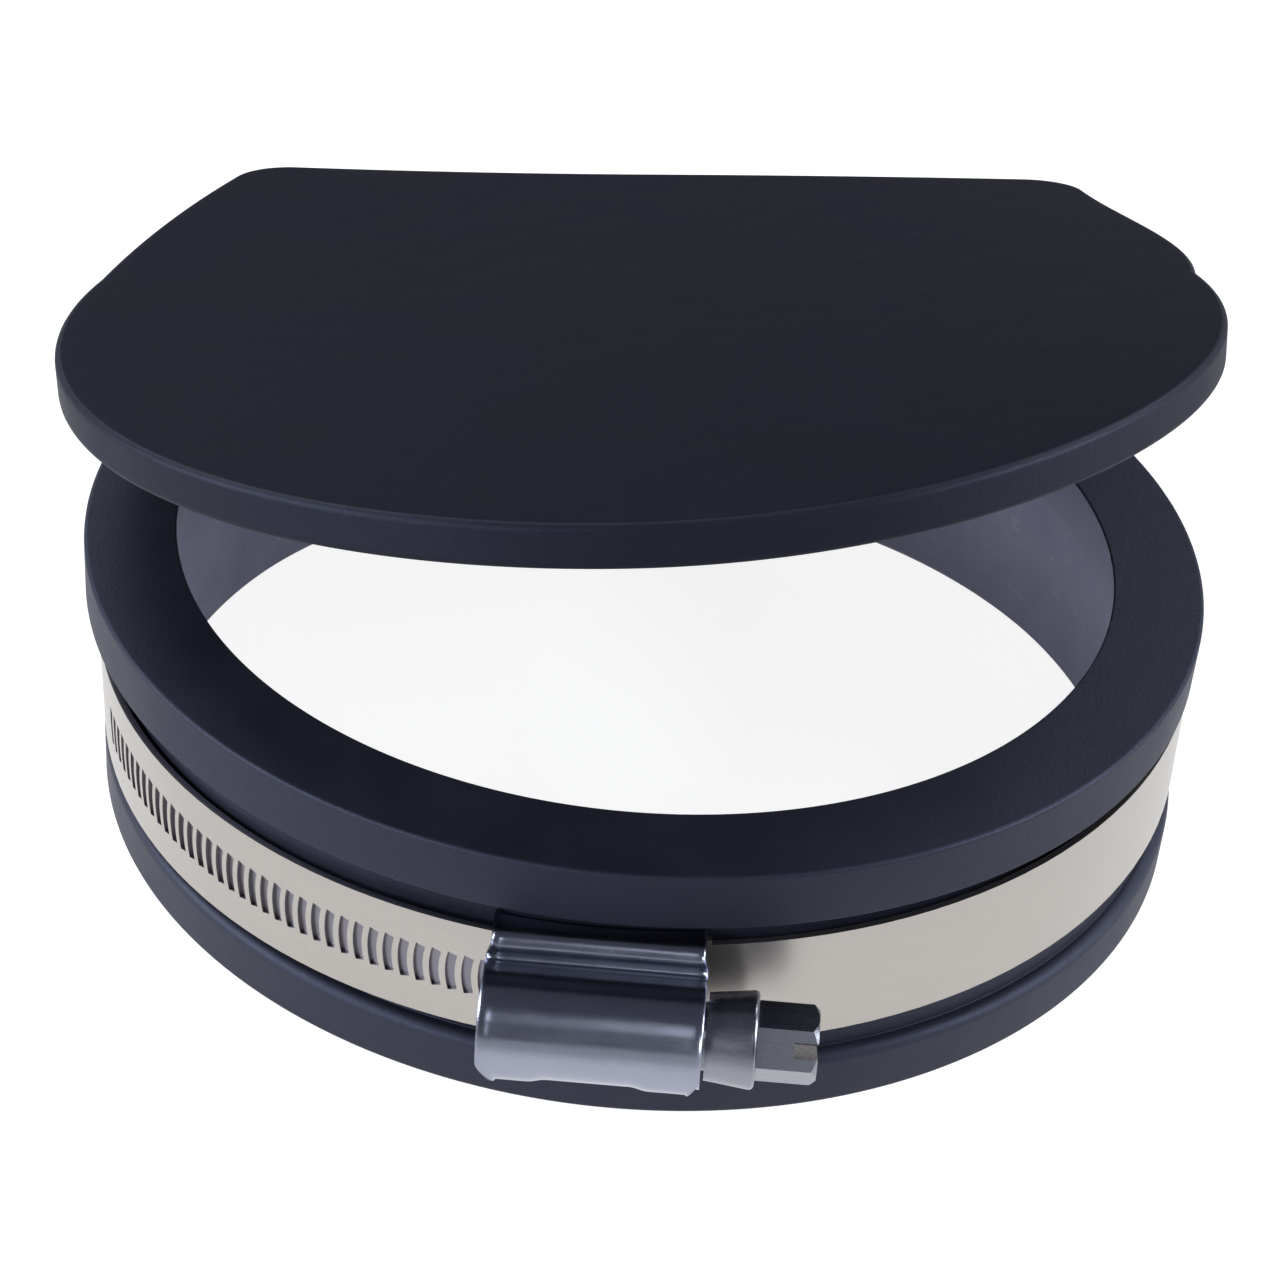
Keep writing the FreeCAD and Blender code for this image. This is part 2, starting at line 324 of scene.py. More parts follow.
def rim(edge: float, steps: int) -> list[tuple[float, float]]:
    """Steps round a rounded edge, from its face to its side.

    Args:
        edge: The edge's radius.
        steps: Number of steps.

    Returns:
        The inset from the side and the drop from the face at each step.
    """
    angles = [math.pi / 2 * k / steps for k in range(steps + 1)]
    return [(edge * (1 - math.sin(a)), edge * (1 - math.cos(a))) for a in angles]


def new_material(name: str) -> tuple[bpy.types.Material, Graph]:
    """An empty material and the graph to fill it with.

    Args:
        name: The material's name.

    Returns:
        The material and its graph.
    """
    material = bpy.data.materials.new(name)
    material.use_nodes = True
    return material, Graph(material.node_tree)


def surface(graph: Graph, inputs: Mapping[str, object]) -> None:
    """Close a material with one Principled shader.

    Args:
        graph: The material's graph.
        inputs: The shader's inputs, constants and links.
    """
    shader = graph.node("ShaderNodeBsdfPrincipled", inputs=inputs)
    graph.node("ShaderNodeOutputMaterial", inputs={0: Sock(graph, shader.outputs[0])})


@dataclass(frozen=True)
class MouldedRubber:
    """Dense black rubber with a matt moulded skin, a little bloom and fine scuffs."""

    name: str
    tone: Colour = (0.0056, 0.0056, 0.0098)
    bloom: Colour = (0.0125, 0.0125, 0.0205)
    rough: float = 0.50
    shine: float = 0.60
    tint: Colour = (0.64, 0.68, 1.0)
    cloud: Mottle = Mottle(26.0, 5.0, 0.55)
    patch: Mottle = Mottle(95.0, 4.0, 0.6)
    drag: Mottle = Mottle(330.0, 3.0, 0.6, stretch=(0.35, 1.0, 2.2))
    grain: Mottle = Mottle(2300.0, 2.0, 0.6)
    cloud_share: float = 0.6
    bloom_stops: Stops = ((0.42, 0.0), (0.66, 0.85))
    scuff_stops: Stops = ((0.60, 0.0), (0.78, 0.5))
    bloom_share: float = 0.45
    scuff_light: float = 1.5
    grain_share: float = 0.25
    grain_dark: float = 0.5
    bloom_dull: float = 0.12
    grain_dull: float = 0.08
    scuff_gloss: float = 0.05
    patch_depth: float = 0.12 * MM
    grain_depth: float = 0.035 * MM

    def build(self) -> bpy.types.Material:
        """Mix mottling, bloom, scuffs and grain.

        Returns:
            The material.
        """
        material, g = new_material(self.name)
        place = g.object_place()
        cloud, patch = g.noise(place, self.cloud), g.noise(place, self.patch)
        drag, grain = g.noise(place, self.drag), g.noise(place, self.grain)
        bloom = g.ramp(cloud * self.cloud_share + patch * (1 - self.cloud_share), self.bloom_stops)
        scuff = g.ramp(drag, self.scuff_stops)
        colour = g.mix(bloom * self.bloom_share, self.tone, self.bloom)
        colour = g.mix(scuff * bloom, colour, tuple(c * self.scuff_light for c in self.bloom))
        colour = g.mix(grain * self.grain_share, colour, tuple(c * self.grain_dark for c in self.tone))
        dull = self.rough + bloom * self.bloom_dull + grain * self.grain_dull
        surface(g, {
            "Base Color": colour,
            "Roughness": dull - scuff * self.scuff_gloss,
            "Specular IOR Level": self.shine,
            "Specular Tint": self.tint,
            "Normal": g.bump(patch, self.patch_depth, g.bump(grain, self.grain_depth)),
        })
        return material


@dataclass(frozen=True)
class RolledSteel:
    """Satin stainless strip with rolling lines along its length, and grooves below its crest darkened with painted
    shade and dirt.
    """

    name: str
    tone: Colour = (0.47, 0.44, 0.405)
    shade: Colour = (0.33, 0.315, 0.305)
    # Painted shade and dirt for the floors of the grooves.
    groove: Colour = (0.145, 0.14, 0.185)
    crest: float | None = None
    groove_depth: float = 0.4 * MM
    rough: float = 0.22
    line: Mottle = Mottle(5200.0, 3.0, 0.65, stretch=(0.02, 1.0, 1.0))
    band: Mottle = Mottle(700.0, 2.0, 0.5, stretch=(0.012, 1.0, 1.0))
    mark: Mottle = Mottle(620.0, 2.0, 0.7, stretch=(0.3, 1.0, 1.4))
    smear: Mottle = Mottle(48.0, 4.0, 0.6)
    mark_stops: Stops = ((0.66, 0.0), (0.74, 1.0))
    line_share: float = 0.22
    band_share: float = 0.2
    mark_share: float = 0.25
    mark_dark: float = 0.8
    groove_shade_and_dirt_share: float = 0.8
    line_dull: float = 0.10
    smear_dull: float = 0.12
    line_rise: float = 0.7
    line_depth: float = 0.012 * MM

    def _sunk(self, g: Graph, place: Sock) -> Sock:
        """How deep a point lies in a groove, from 0 at the crest to 1 at the floor.

        Args:
            g: The material's graph.
            place: The point.

        Returns:
            The depth's share.
        """
        off = g.vector_math("SUBTRACT", place, tuple(JOINTS["tail_travel"]["pos_m"]))
        along = g.vector_math("DOT_PRODUCT", off, tuple(JOINTS["tail_travel"]["axis"]), out=1)
        square = g.vector_math("DOT_PRODUCT", off, off, out=1)
        reach = g.math("SQRT", square - along * along)
        return ((self.crest - reach) / self.groove_depth).clamp(0.0, 1.0)

    def build(self) -> bpy.types.Material:
        """Mix rolling lines, soft smears, small handling marks, and painted shade with dirt in the grooves.

        Returns:
            The material.
        """
        material, g = new_material(self.name)
        place = g.object_place()
        x, y, z = g.parts(place)
        round_band = g.vector(g.math("ARCTAN2", y, x), 0.0, z)
        lines, bands = g.noise(round_band, self.line), g.noise(round_band, self.band)
        smear = g.noise(place, self.smear)
        marks = g.ramp(g.noise(round_band, self.mark), self.mark_stops)
        colour = g.mix(lines * self.line_share + bands * self.band_share, self.tone, self.shade)
        colour = g.mix(marks * self.mark_share, colour, tuple(c * self.mark_dark for c in self.shade))
        # Painted shade and dirt, deeper as a point sinks below the crest.
        if self.crest is not None:
            colour = g.mix(self._sunk(g, place) * self.groove_shade_and_dirt_share, colour, self.groove)
        rise = lines * self.line_rise + bands * (1 - self.line_rise)
        surface(g, {
            "Base Color": colour,
            "Metallic": 1.0,
            "Roughness": self.rough + lines * self.line_dull + smear * self.smear_dull,
            "Normal": g.bump(rise, self.line_depth),
        })
        return material


@dataclass(frozen=True)
class PolishedSteel:
    """Bright-drawn stainless with faint draw lines and a slightly wavy skin, its dark bluish tone partly a painted
    reflection of dark, bluish surroundings.
    """

    name: str
    # Darker and bluer than bare steel: partly a painted reflection of dark, bluish surroundings.
    tone: Colour = (0.27, 0.285, 0.36)
    pale: Colour = (0.42, 0.42, 0.46)
    rough: float = 0.175
    line: Mottle = Mottle(3800.0, 3.0, 0.6, stretch=(0.05, 1.0, 1.0))
    wave: Mottle = Mottle(210.0, 2.0, 0.5, stretch=(0.45, 1.0, 1.0))
    smudge: Mottle = Mottle(340.0, 4.0, 0.65)
    smudge_stops: Stops = ((0.30, 0.0), (0.85, 1.0))
    smudge_share: float = 0.22
    line_share: float = 0.2
    smudge_dull: float = 0.05
    line_dull: float = 0.08
    wave_depth: float = 0.06 * MM
    line_depth: float = 0.006 * MM

    def build(self) -> bpy.types.Material:
        """Mix draw lines, waves in the sheet and dull smudges.

        Returns:
            The material.
        """
        material, g = new_material(self.name)
        place = g.object_place()
        lines, waves = g.noise(place, self.line), g.noise(place, self.wave)
        smudge = g.ramp(g.noise(place, self.smudge), self.smudge_stops)
        surface(g, {
            "Base Color": g.mix(
                smudge * self.smudge_share + lines * self.line_share, self.tone, self.pale),
            "Metallic": 1.0,
            "Roughness": self.rough + smudge * self.smudge_dull + lines * self.line_dull,
            "Normal": g.bump(waves, self.wave_depth, g.bump(lines, self.line_depth)),
        })
        return material


def dress(node: str, material: bpy.types.Material) -> None:
    """Give a carried-over piece its finish.

    Args:
        node: The piece's name.
        material: Its finish.
    """
    shape = frame["nodes"][node]
    if not shape.material_slots:
        shape.data.materials.append(material)
    for holder in shape.material_slots:
        holder.material = material
    LOG.info("%s dressed in %s", node, material.name)


def new_piece(
    name: str, mesh: bmesh.types.BMesh, materials: Sequence[bpy.types.Material],
    sharp_deg: float = 180.0,
) -> bpy.types.Object:
    """Turn a finished mesh into a smooth-shaded piece.

    Args:
        name: The piece's name.
        mesh: Its mesh, in metres.
        materials: Its finishes, in the order of the mesh's material numbers.
        sharp_deg: Edges that turn by more than this are shaded sharp.

    Returns:
        The new object, linked to the scene.
    """
    bmesh.ops.recalc_face_normals(mesh, faces=mesh.faces)
    data = bpy.data.meshes.new(name)
    mesh.to_mesh(data)
    mesh.free()
    for material in materials:
        data.materials.append(material)
    data.shade_smooth()
    data.set_sharp_from_angle(angle=math.radians(sharp_deg))
    shape = bpy.data.objects.new(name, data)
    bpy.context.scene.collection.objects.link(shape)
    LOG.info("%s made with %d faces", name, len(data.polygons))
    return shape


def skin(rows: Sequence[Sequence[Vector]]) -> bmesh.types.BMesh:
    """A mesh over rows of points that are loops, with its two ends capped.

    Args:
        rows: Rows with equal numbers of points.

    Returns:
        The mesh.
    """
    mesh = bmesh.new()
    grid = [[mesh.verts.new(p) for p in row] for row in rows]
    count = len(grid[0])
    for above, below in zip(grid, grid[1:]):
        for i in range(count):
            j = (i + 1) % count
            mesh.faces.new((above[i], above[j], below[j], below[i]))
    mesh.faces.new(grid[0])
    mesh.faces.new(list(reversed(grid[-1])))
    return mesh


def hoop(rows: Sequence[Sequence[Vector]], finishes: Sequence[int] | None = None) -> bmesh.types.BMesh:
    """A mesh over rows of points that are loops, with the last row joined to the first.

    Args:
        rows: Rows with equal numbers of points.
        finishes: Material number of the faces that follow each row, or none for 0.

    Returns:
        The mesh.
    """
    mesh = bmesh.new()
    grid = [[mesh.verts.new(p) for p in row] for row in rows]
    count = len(grid[0])
    for i, near in enumerate(grid):
        far = grid[(i + 1) % len(grid)]
        for k in range(count):
            j = (k + 1) % count
            face = mesh.faces.new((near[k], near[j], far[j], far[k]))
            face.material_index = finishes[i] if finishes else 0
    return mesh


@dataclass(frozen=True)
class Corner:
    """One corner of an outline, with its rounding and the finish of the stretch that follows it."""

    across: float
    along: float
    radius: float
    finish: int = 0


def rounded(corners: Sequence[Corner], steps: int = 6, guard: float = 0.1 * MM) -> list[tuple[Vector, int]]:
    """Points round a closed outline, with guard points that keep its flats flat when shaded.

    Args:
        corners: The outline's corners, in order.
        steps: Steps round each corner.
        guard: Distance from a rounding's end to its guard point.

    Returns:
        Each point with the finish of the stretch that follows it.
    """
    points: list[tuple[Vector, int]] = []
    for i, corner in enumerate(corners):
        here = Vector((corner.across, corner.along))
        before, after = corners[i - 1], corners[(i + 1) % len(corners)]
        back = (Vector((before.across, before.along)) - here).normalized()
        ahead = (Vector((after.across, after.along)) - here).normalized()
        half = back.angle(ahead) / 2
        set_back = corner.radius / math.tan(half)
        centre = here + (back + ahead).normalized() * (corner.radius / math.sin(half))
        start, stop = here + back * set_back, here + ahead * set_back
        turn = (start - centre).angle_signed(stop - centre) if corner.radius else 0.0
        points.append((start + back * guard, before.finish))
        for k in range(steps + 1):
            spoke = start - centre
            spoke.rotate(Matrix.Rotation(-turn * k / steps, 2))
            points.append((centre + spoke, before.finish if k < steps else corner.finish))
        points.append((stop + ahead * guard, corner.finish))
    return points


@dataclass
class Cuff:
    """Moulded ring with its lip, undercut, band groove, lower flange and hinge lug."""

    bore: float = MOUNTS["pipe_bore"]["dims"]["r_mm"] * MM
    wall: float = 4.15 * MM
    lip_step: float = 2.2 * MM
    flange_step: float = 1.6 * MM
    relief: float = 1.2 * MM
    mouth_step: float = 3.85 * MM
    lead_in: float = 1.0 * MM
    seat_top: float = 22.6 * MM
    lip_low: float = 24.9 * MM
    lip_top: float = 31.3 * MM
    flange_top: float = 6.4 * MM
    flange_edge: float = 1.2 * MM
    edge: float = 0.4 * MM
    seat_edge: float = 0.25 * MM
    around: int = 320
    pull: tuple[float, float] = (-1.1 * MM, 0.25 * MM)
    pull_from: float = 22.0 * MM
    lug_half: float = 42.0 * MM
    lug_centre: float = -3.55 * MM
    lug_back: float = 74.2 * MM
    lug_top: float = 28.9 * MM
    lug_corner: float = 4.0 * MM
    lug_edge: float = 0.6 * MM
    lug_margin: float = 0.4 * MM
    corner_steps: int = 8
    inner_steps: int = 32
    edge_steps: int = 6
    skin_finish: MouldedRubber = field(default_factory=lambda: MouldedRubber("moulded_rubber"))
    # The bore's rubber is paler than the skin, and its tone is raised further as painted light against the shade
    # the flap casts into the bore.
    bore_finish: MouldedRubber = field(
        default_factory=lambda: MouldedRubber(
            "pale_bore_painted_light", tone=(0.19, 0.184, 0.25), bloom=(0.40, 0.385, 0.47), rough=0.62, shine=0.40
        )
    )

    @property
    def groove(self) -> float:
        """Radius of the band groove's floor."""
        return self.bore + self.wall

    @property
    def lip(self) -> float:
        """Outer radius of the lip."""
        return self.groove + self.lip_step

    @property
    def undercut(self) -> float:
        """Radius of the undercut below the lip."""
        return self.bore + self.relief

    def ring(self, materials: Sequence[bpy.types.Material]) -> None:
        """The turned ring.

        Args:
            materials: The skin's finish and the bore's.
        """
        e = self.edge
        flange, mouth = self.groove + self.flange_step, self.bore - self.mouth_step
        # The mouth's face and the bore take the second finish, pale with painted light; the lip's underside, the
        # undercut and its ledge keep the dark skin.
        outline = rounded([
            Corner(self.bore + self.lead_in, 0.0, self.seat_edge),
            Corner(flange, 0.0, e),
            Corner(flange, self.flange_top, self.flange_edge),
            Corner(self.groove, self.flange_top, e / 4),
            Corner(self.groove, self.lip_low, e / 4),
            Corner(self.lip, self.lip_low, e / 2),
            Corner(self.lip, self.lip_top, e),
            Corner(mouth, self.lip_top, e / 2, 1),
            Corner(mouth, self.lip_low, e / 2),
            Corner(self.undercut, self.lip_low, e / 4),
            Corner(self.undercut, self.seat_top, e / 4),
            Corner(self.bore, self.seat_top, e / 2, 1),
            Corner(self.bore, self.lead_in, self.seat_edge, 1),
        ])
        turns = [math.tau * k / self.around for k in range(self.around)]
        rings = []
        for p, _ in outline:
            share = ease((p.y - self.pull_from) / (self.lip_low - self.pull_from))
            aside, back = (part * share for part in self.pull)
            rings.append([
                Vector((p.x * math.cos(a) + aside, p.x * math.sin(a) + back, p.y)) for a in turns
            ])
        mesh = hoop(rings, [finish for _, finish in outline])
        piece = new_piece("cuff_ring", mesh, materials)
        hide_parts("cuff")
        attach(piece, Body.CUFF.value)

    def lug(self, material: bpy.types.Material) -> None:
        """The shelf behind the lip that carries the hinge web.

        Args:
            material: The rubber.
        """
        left, right = self.lug_centre - self.lug_half, self.lug_centre + self.lug_half
        inner = (self.undercut + self.lip) / 2
        start, stop = math.acos(left / inner), math.acos(right / inner)
        plan = []
        for side_x, side, first in ((right, 1.0, 0.0), (left, -1.0, math.pi / 2)):
            centre = Vector((side_x - side * self.lug_corner, self.lug_back - self.lug_corner))
            for k in range(self.corner_steps + 1):
                angle = first + math.pi / 2 * k / self.corner_steps
                plan.append(centre + polar(angle) * self.lug_corner)
        for k in range(self.inner_steps + 1):
            plan.append(polar(start + (stop - start) * k / self.inner_steps) * inner)
        middle = Vector((self.lug_centre, (inner + self.lug_back) / 2))
        rows = [(self.lug_edge + self.lug_margin, 0.0)] + rim(self.lug_edge, self.edge_steps)
        height = self.lug_top - self.lip_low
        levels = rows + [(shrink, height - drop) for shrink, drop in reversed(rows)]
        grid = [
            [self._toward(p, middle, shrink, self.lip_low + level) for p in plan] for shrink, level in levels
        ]
        piece = new_piece("hinge_lug", skin(grid), [material])
        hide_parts("cuff")
        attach(piece, Body.CUFF.value)

    @staticmethod
    def _toward(point: Vector, middle: Vector, shrink: float, level: float) -> Vector:
        """A plan point drawn in towards the middle and lifted to a level."""
        drawn = point + (middle - point).normalized() * shrink
        return Vector((drawn.x, drawn.y, level))

    def build(self) -> bpy.types.Material:
        """Make both pieces.

        Returns:
            The outer rubber, for the hinge web to share.
        """
        outer = self.skin_finish.build()
        self.ring([outer, self.bore_finish.build()])
        self.lug(outer)
        return outer


@dataclass
class Hinge:
    """The flap's two motions, and where a point of the shut flap lies at rest."""

    line_y: float = JOINTS["flap_hinge"]["pos_m"][1]
    line_z: float = JOINTS["flap_hinge"]["pos_m"][2]
    twist_x: float = JOINTS["flap_twist"]["pos_m"][0]
    open_deg: float = -JOINTS["flap_hinge"]["range_deg"][0]
    twist_deg: float = -JOINTS["flap_twist"]["range_deg"][0]

    def at_rest(self, point: Vector, share: float = 1.0) -> Vector:
        """Where a point of the shut flap lies at rest.

        Args:
            point: The point with the flap shut.
            share: How much of the roll the point takes, from 0 to 1.

        Returns:
            The point after the roll and the opening.
        """
        pivot = Vector((self.twist_x, self.line_y, self.line_z))
        rolled = Matrix.Rotation(-math.radians(self.twist_deg) * share, 3, "Y") @ (point - pivot)
        return pivot + Matrix.Rotation(-math.radians(self.open_deg), 3, "X") @ rolled


@dataclass
class Flap:
    """D-shaped plate that takes its roll more and more from the hinge to its round front."""

    hinge: Hinge
    front: float = 64.75 * MM
    centre_x: float = -3.35 * MM
    centre_y: float = 5.0 * MM
    back_y: float = 67.0 * MM
    back_half: float = 53.8 * MM
    corner: float = 7.5 * MM
    flank_bow: float = 1.0 * MM
    shoulder_bow: float = 2.1 * MM
    bow_reach: float = 60.0 * MM
    bow_rear: tuple[float, float] = (1.1 * MM, -0.45 * MM)
    bow_front: tuple[float, float] = (-0.15 * MM, 2.5 * MM)
    edge: float = 0.7 * MM
    edge_steps: int = 6
    edge_guard: float = 1.2
    thickness: float = 4.6 * MM
    back_place: float = 0.7
    round_steps: int = 180
    corner_steps: int = 12
    flank_steps: int = 24
    back_steps: int = 60
    crown_rows: int = 18
    crown_power: float = 1.4
    rim_finish: MouldedRubber = field(
        default_factory=lambda: MouldedRubber("rim_rubber", tone=(0.0048, 0.0048, 0.0085), shine=0.34)
    )
    finish: MouldedRubber = field(
        default_factory=lambda: MouldedRubber(
            "flap_rubber", tone=(0.0048, 0.0046, 0.0088), bloom=(0.0098, 0.0094, 0.016), shine=0.12)
    )

    def place_along(self, y: float) -> float:
        """Place of a point between the hinge and the front, as the bending measures it."""
        reach = self.back_y - (self.centre_y - self.front)
        return self.back_place + (1 - self.back_place) * (self.back_y - y) / reach

    def share(self, y: float) -> float:
        """How much of the roll a point takes."""
        return ease(self.place_along(y))

    def lift(self, x: float, y: float) -> float:
        """How far the soft plate is bowed up at a point of its plan.

        Args:
            x: The point's place along the hinge.
            y: Its place from front to back.

        Returns:
            The rise, which is less than 0 where the plate sags.
        """
        across = (x - self.centre_x) / self.bow_reach
        rear = (y + self.bow_reach) / (2 * self.bow_reach)
        side = 0 if across < 0 else 1
        return across * across * (self.bow_rear[side] * rear + self.bow_front[side] * (1 - rear))

    def outline(self) -> list[tuple[Vector, Vector]]:
        """Points round the plate: its round front, left side, back edge and right side.

        Returns:
            Each point from the plate's centre, with the way out of the plate there.
        """
        back = self.back_y - self.centre_y
        reach = math.hypot(self.back_half, back)
        leave = math.atan2(back, self.back_half) - math.acos(self.front / reach)
        touch = polar(leave) * self.front
        square, inward = Vector((self.back_half, back)), Vector((-1.0, 0.0))
        flank = (touch - square).normalized()
        half = flank.angle(inward) / 2
        heart = square + (flank + inward).normalized() * (self.corner / math.sin(half))
        sweep, turn = math.pi + 2 * leave, math.pi / 2 - leave
        ways = [polar(leave - sweep * k / self.round_steps) for k in range(self.round_steps + 1)]
        front = [(way * self.front, way) for way in ways]
        ways = [polar(leave + turn * k / self.corner_steps) for k in range(self.corner_steps + 1)]
        right = [(heart + way * self.corner, way) for way in ways]
        bend_from, flank_out = right[0]
        even, skewed = [], []
        for k in range(1, self.flank_steps):
            t = k / self.flank_steps
            flat = touch.lerp(bend_from, t)
            even.append((flat + flank_out * (self.flank_bow * 4 * t * (1 - t)), flank_out))
            skewed.append((flat + flank_out * (self.shoulder_bow * SKEW_PEAK * t * (1 - t) ** 2), flank_out))
        left = [(Vector((-p.x, p.y)), Vector((-n.x, n.y))) for p, n in even + right]
        run_from, run_to = left[-1][0], right[-1][0]
        run = [run_from.lerp(run_to, k / self.back_steps) for k in range(1, self.back_steps)]
        back_edge = [(p, Vector((0.0, 1.0))) for p in run]
        return front + left + back_edge + list(reversed(skewed + right))

    def build(self) -> None:
        """Make the plate at rest."""
        outline = self.outline()
        lower = rim(self.edge, self.edge_steps) + [(0.0, self.edge * self.edge_guard)]
        side = lower + [(inset, self.thickness - level) for inset, level in reversed(lower)]
        crown = [1 - (k / self.crown_rows) ** self.crown_power for k in range(1, self.crown_rows)]
        rows = [self._row(outline, self.edge, scale, 0.0) for scale in reversed(crown)]
        rows += [self._row(outline, inset, 1.0, level) for inset, level in side]
        rows += [self._row(outline, self.edge, scale, self.thickness) for scale in crown]
        mesh = skin(rows)
        mesh.faces.ensure_lookup_table()
        first = len(crown) * len(outline)
        for face in mesh.faces[first:first + (len(side) - 1) * len(outline)]:
            face.material_index = 1
        piece = new_piece("flap_plate", mesh, [self.finish.build(), self.rim_finish.build()])
        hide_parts("flap")
        far = self.back_y + self.back_place / (1 - self.back_place) * (
            self.back_y - self.centre_y + self.front)
        ends = [Vector((0.0, y, self.hinge.line_z)) for y in (far, self.centre_y - self.front)]
        start, end = (self.hinge.at_rest(p, 0.0) for p in ends)
        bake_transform(piece)

    def _row(
        self, outline: Sequence[tuple[Vector, Vector]], inset: float, scale: float, level: float
    ) -> list[Vector]:
        """One loop of the plate's points, at rest.

        Args:
            outline: The plate's outline, with the way out of it at each point.
            inset: How far the loop lies inside the outline.
            scale: How much the loop is then shrunk to the middle.
            level: Its height over the plate's underside.

        Returns:
            The loop's points.
        """
        row = []
        for point, out in outline:
            drawn = (point - out * inset) * scale
            x, y = self.centre_x + drawn.x, self.centre_y + drawn.y
            shut = Vector((x, y, self.hinge.line_z + level + self.lift(x, y)))
            row.append(self.hinge.at_rest(shut, self.share(shut.y)))
        return row


@dataclass
class HingeWeb:
    """Thin moulded web that rises straight from the lug, then curves over to the flap and twists where it meets
    it.
    """

    hinge: Hinge
    flap: Flap
    half_width: float = 40.0 * MM
    foot_z: float = 28.6 * MM
    split_z: float = 33.1 * MM
    web_level: float = 2.1 * MM
    thickness: float = 2.4 * MM
    flare: float = 1.1 * MM
    flare_power: int = 6
    still: float = 0.9 * MM
    lower_steps: int = 14
    lower_across: int = 48
    panels: int = 10
    panel_steps: int = 16
    panel_across: int = 6
    sharp_deg: float = 60.0

    def centre_line(self, x: float, count: int) -> list[tuple[Vector, Vector, float]]:
        """The web's middle above the split, at one place along the hinge.

        Args:
            x: Place along the hinge.
            count: Number of steps.

        Returns:
            Point, thickness direction and half thickness at each step.
        """
        hinge, back = self.hinge, self.flap.back_y
        start = Vector((x, hinge.line_y, self.split_z))
        level = hinge.line_z + self.web_level + self.flap.lift(x, back)
        stop = hinge.at_rest(Vector((x, back, level)), self.flap.share(back))
        stop.x = x
        knee = Vector((x, hinge.line_y, stop.z))
        line = []
        for i in range(count + 1):
            t = i / count
            point = (1 - t) ** 2 * start + 2 * t * (1 - t) * knee + t * t * stop
            along = (2 * (1 - t) * (knee - start) + 2 * t * (stop - knee)).normalized()
            side = Vector((0.0, along.z, -along.y))
            line.append((point, side, self.thickness / 2 + self.flare * t**self.flare_power))
        return line

    def lower(self, material: bpy.types.Material) -> None:
        """The strip between the lug and the split.

        Args:
            material: The rubber.
        """
        left = self.flap.centre_x - self.half_width
        line_y = self.hinge.line_y
        rows = []
        for i in range(self.lower_steps + 1):
            t = i / self.lower_steps
            z = self.foot_z + t * (self.split_z - self.foot_z)
            half = self.thickness / 2 + self.flare * (1 - t) ** self.flare_power
            rows.append(self._band(
                lambda x, z=z, half=half: (Vector((x, line_y, z)), Vector((0, 1, 0)), half),
                left, 2 * self.half_width, self.lower_across))
        piece = new_piece("web_lower", skin(rows), [material], self.sharp_deg)
        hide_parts("hinge_strap")
        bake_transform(piece)

    @staticmethod
    def _band(
        middle: Callable[[float], tuple[Vector, Vector, float]], left: float, width: float, count: int
    ) -> list[Vector]:
        """One closed row of points round the web's section.

        Args:
            middle: Gives the point, thickness direction and half thickness at a place along the hinge.
            left: Where the row starts.
            width: Its length.
            count: Steps along it.

        Returns:
            The front points from left to right, then the back points from right to left.
        """
        found = [middle(left + width * i / count) for i in range(count + 1)]
        front = [p - s * h for p, s, h in found]
        back = [p + s * h for p, s, h in reversed(found)]
        return front + back

    def upper(self, material: bpy.types.Material) -> None:
        """The panels between the split and the flap.

        Args:
            material: The rubber.
        """
        width = 2 * self.half_width / self.panels
        share = self.flap.share(self.flap.back_y)
        steps = self.panel_steps
        for number in range(self.panels):
            left = self.flap.centre_x - self.half_width + number * width
            rows = [
                self._band(lambda x, i=i: self.centre_line(x, steps)[i], left, width, self.panel_across)
                for i in range(steps + 1)
            ]
            piece = new_piece(
                f"web_panel_{number + 1:02d}", skin(rows), [material], self.sharp_deg)
            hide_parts("hinge_strap")
            middle = left + width / 2
            rise = self.centre_line(middle, steps)[-1][0].z - self.split_z - self.thickness / 2
            reach = rise / self.flap.back_place
            lean = math.tan(math.radians(self.hinge.twist_deg) * share) / 2
            middle - lean * reach
            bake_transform(piece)


@dataclass
class Housing:
    """Pressed sheet over the band: a barrel round the screw between two flat shoulders."""

    axis: float = 67.55 * MM
    barrel: float = 5.6 * MM
    shoulder: float = 64.35 * MM
    half_width: float = 7.7 * MM
    bend: float = 1.5 * MM
    sheet: float = 0.6 * MM
    skirt: float = 61.6 * MM
    crease: float = 0.6 * MM
    left: float = -11.6 * MM
    right: float = 10.4 * MM
    cut_low: tuple[float, float] = (1.7 * MM, 1.2 * MM)
    cut_high: tuple[float, float] = (0.5 * MM, 0.4 * MM)
    cut_reach: float = 4.0 * MM
    cut_low_mm: tuple[float, float] = (0.5, 4.5)
    cut_high_mm: tuple[float, float] = (5.6, 1.6)
    flare: float = 0.45 * MM
    flare_len: float = 1.5 * MM
    right_flare: float = 0.45
    right_len: float = 0.6
    swell: float = 0.30 * MM
    swell_in_deg: tuple[float, float] = (15.0, 35.0)
    swell_out_deg: tuple[float, float] = (112.0, 25.0)
    waist: tuple[float, float] = (0.38, 0.16)
    neck_hole: float = 3.45 * MM
    pilot_hole: float = 2.45 * MM
    wall_in: float = 0.7 * MM
    band_clear: float = 63.65 * MM
    hole_steps: int = 64
    skirt_steps: int = 6
    bend_steps: int = 8
    flat_steps: int = 12
    flat_marks: tuple[int, ...] = (1, 6, 11)
    crease_steps: int = 8
    barrel_steps: int = 52
    left_stations: int = 8
    right_stations: int = 6
    run_stations: int = 40
    sharp_deg: float = 40.0
    finish: PolishedSteel = field(default_factory=lambda: PolishedSteel("polished_pressing"))

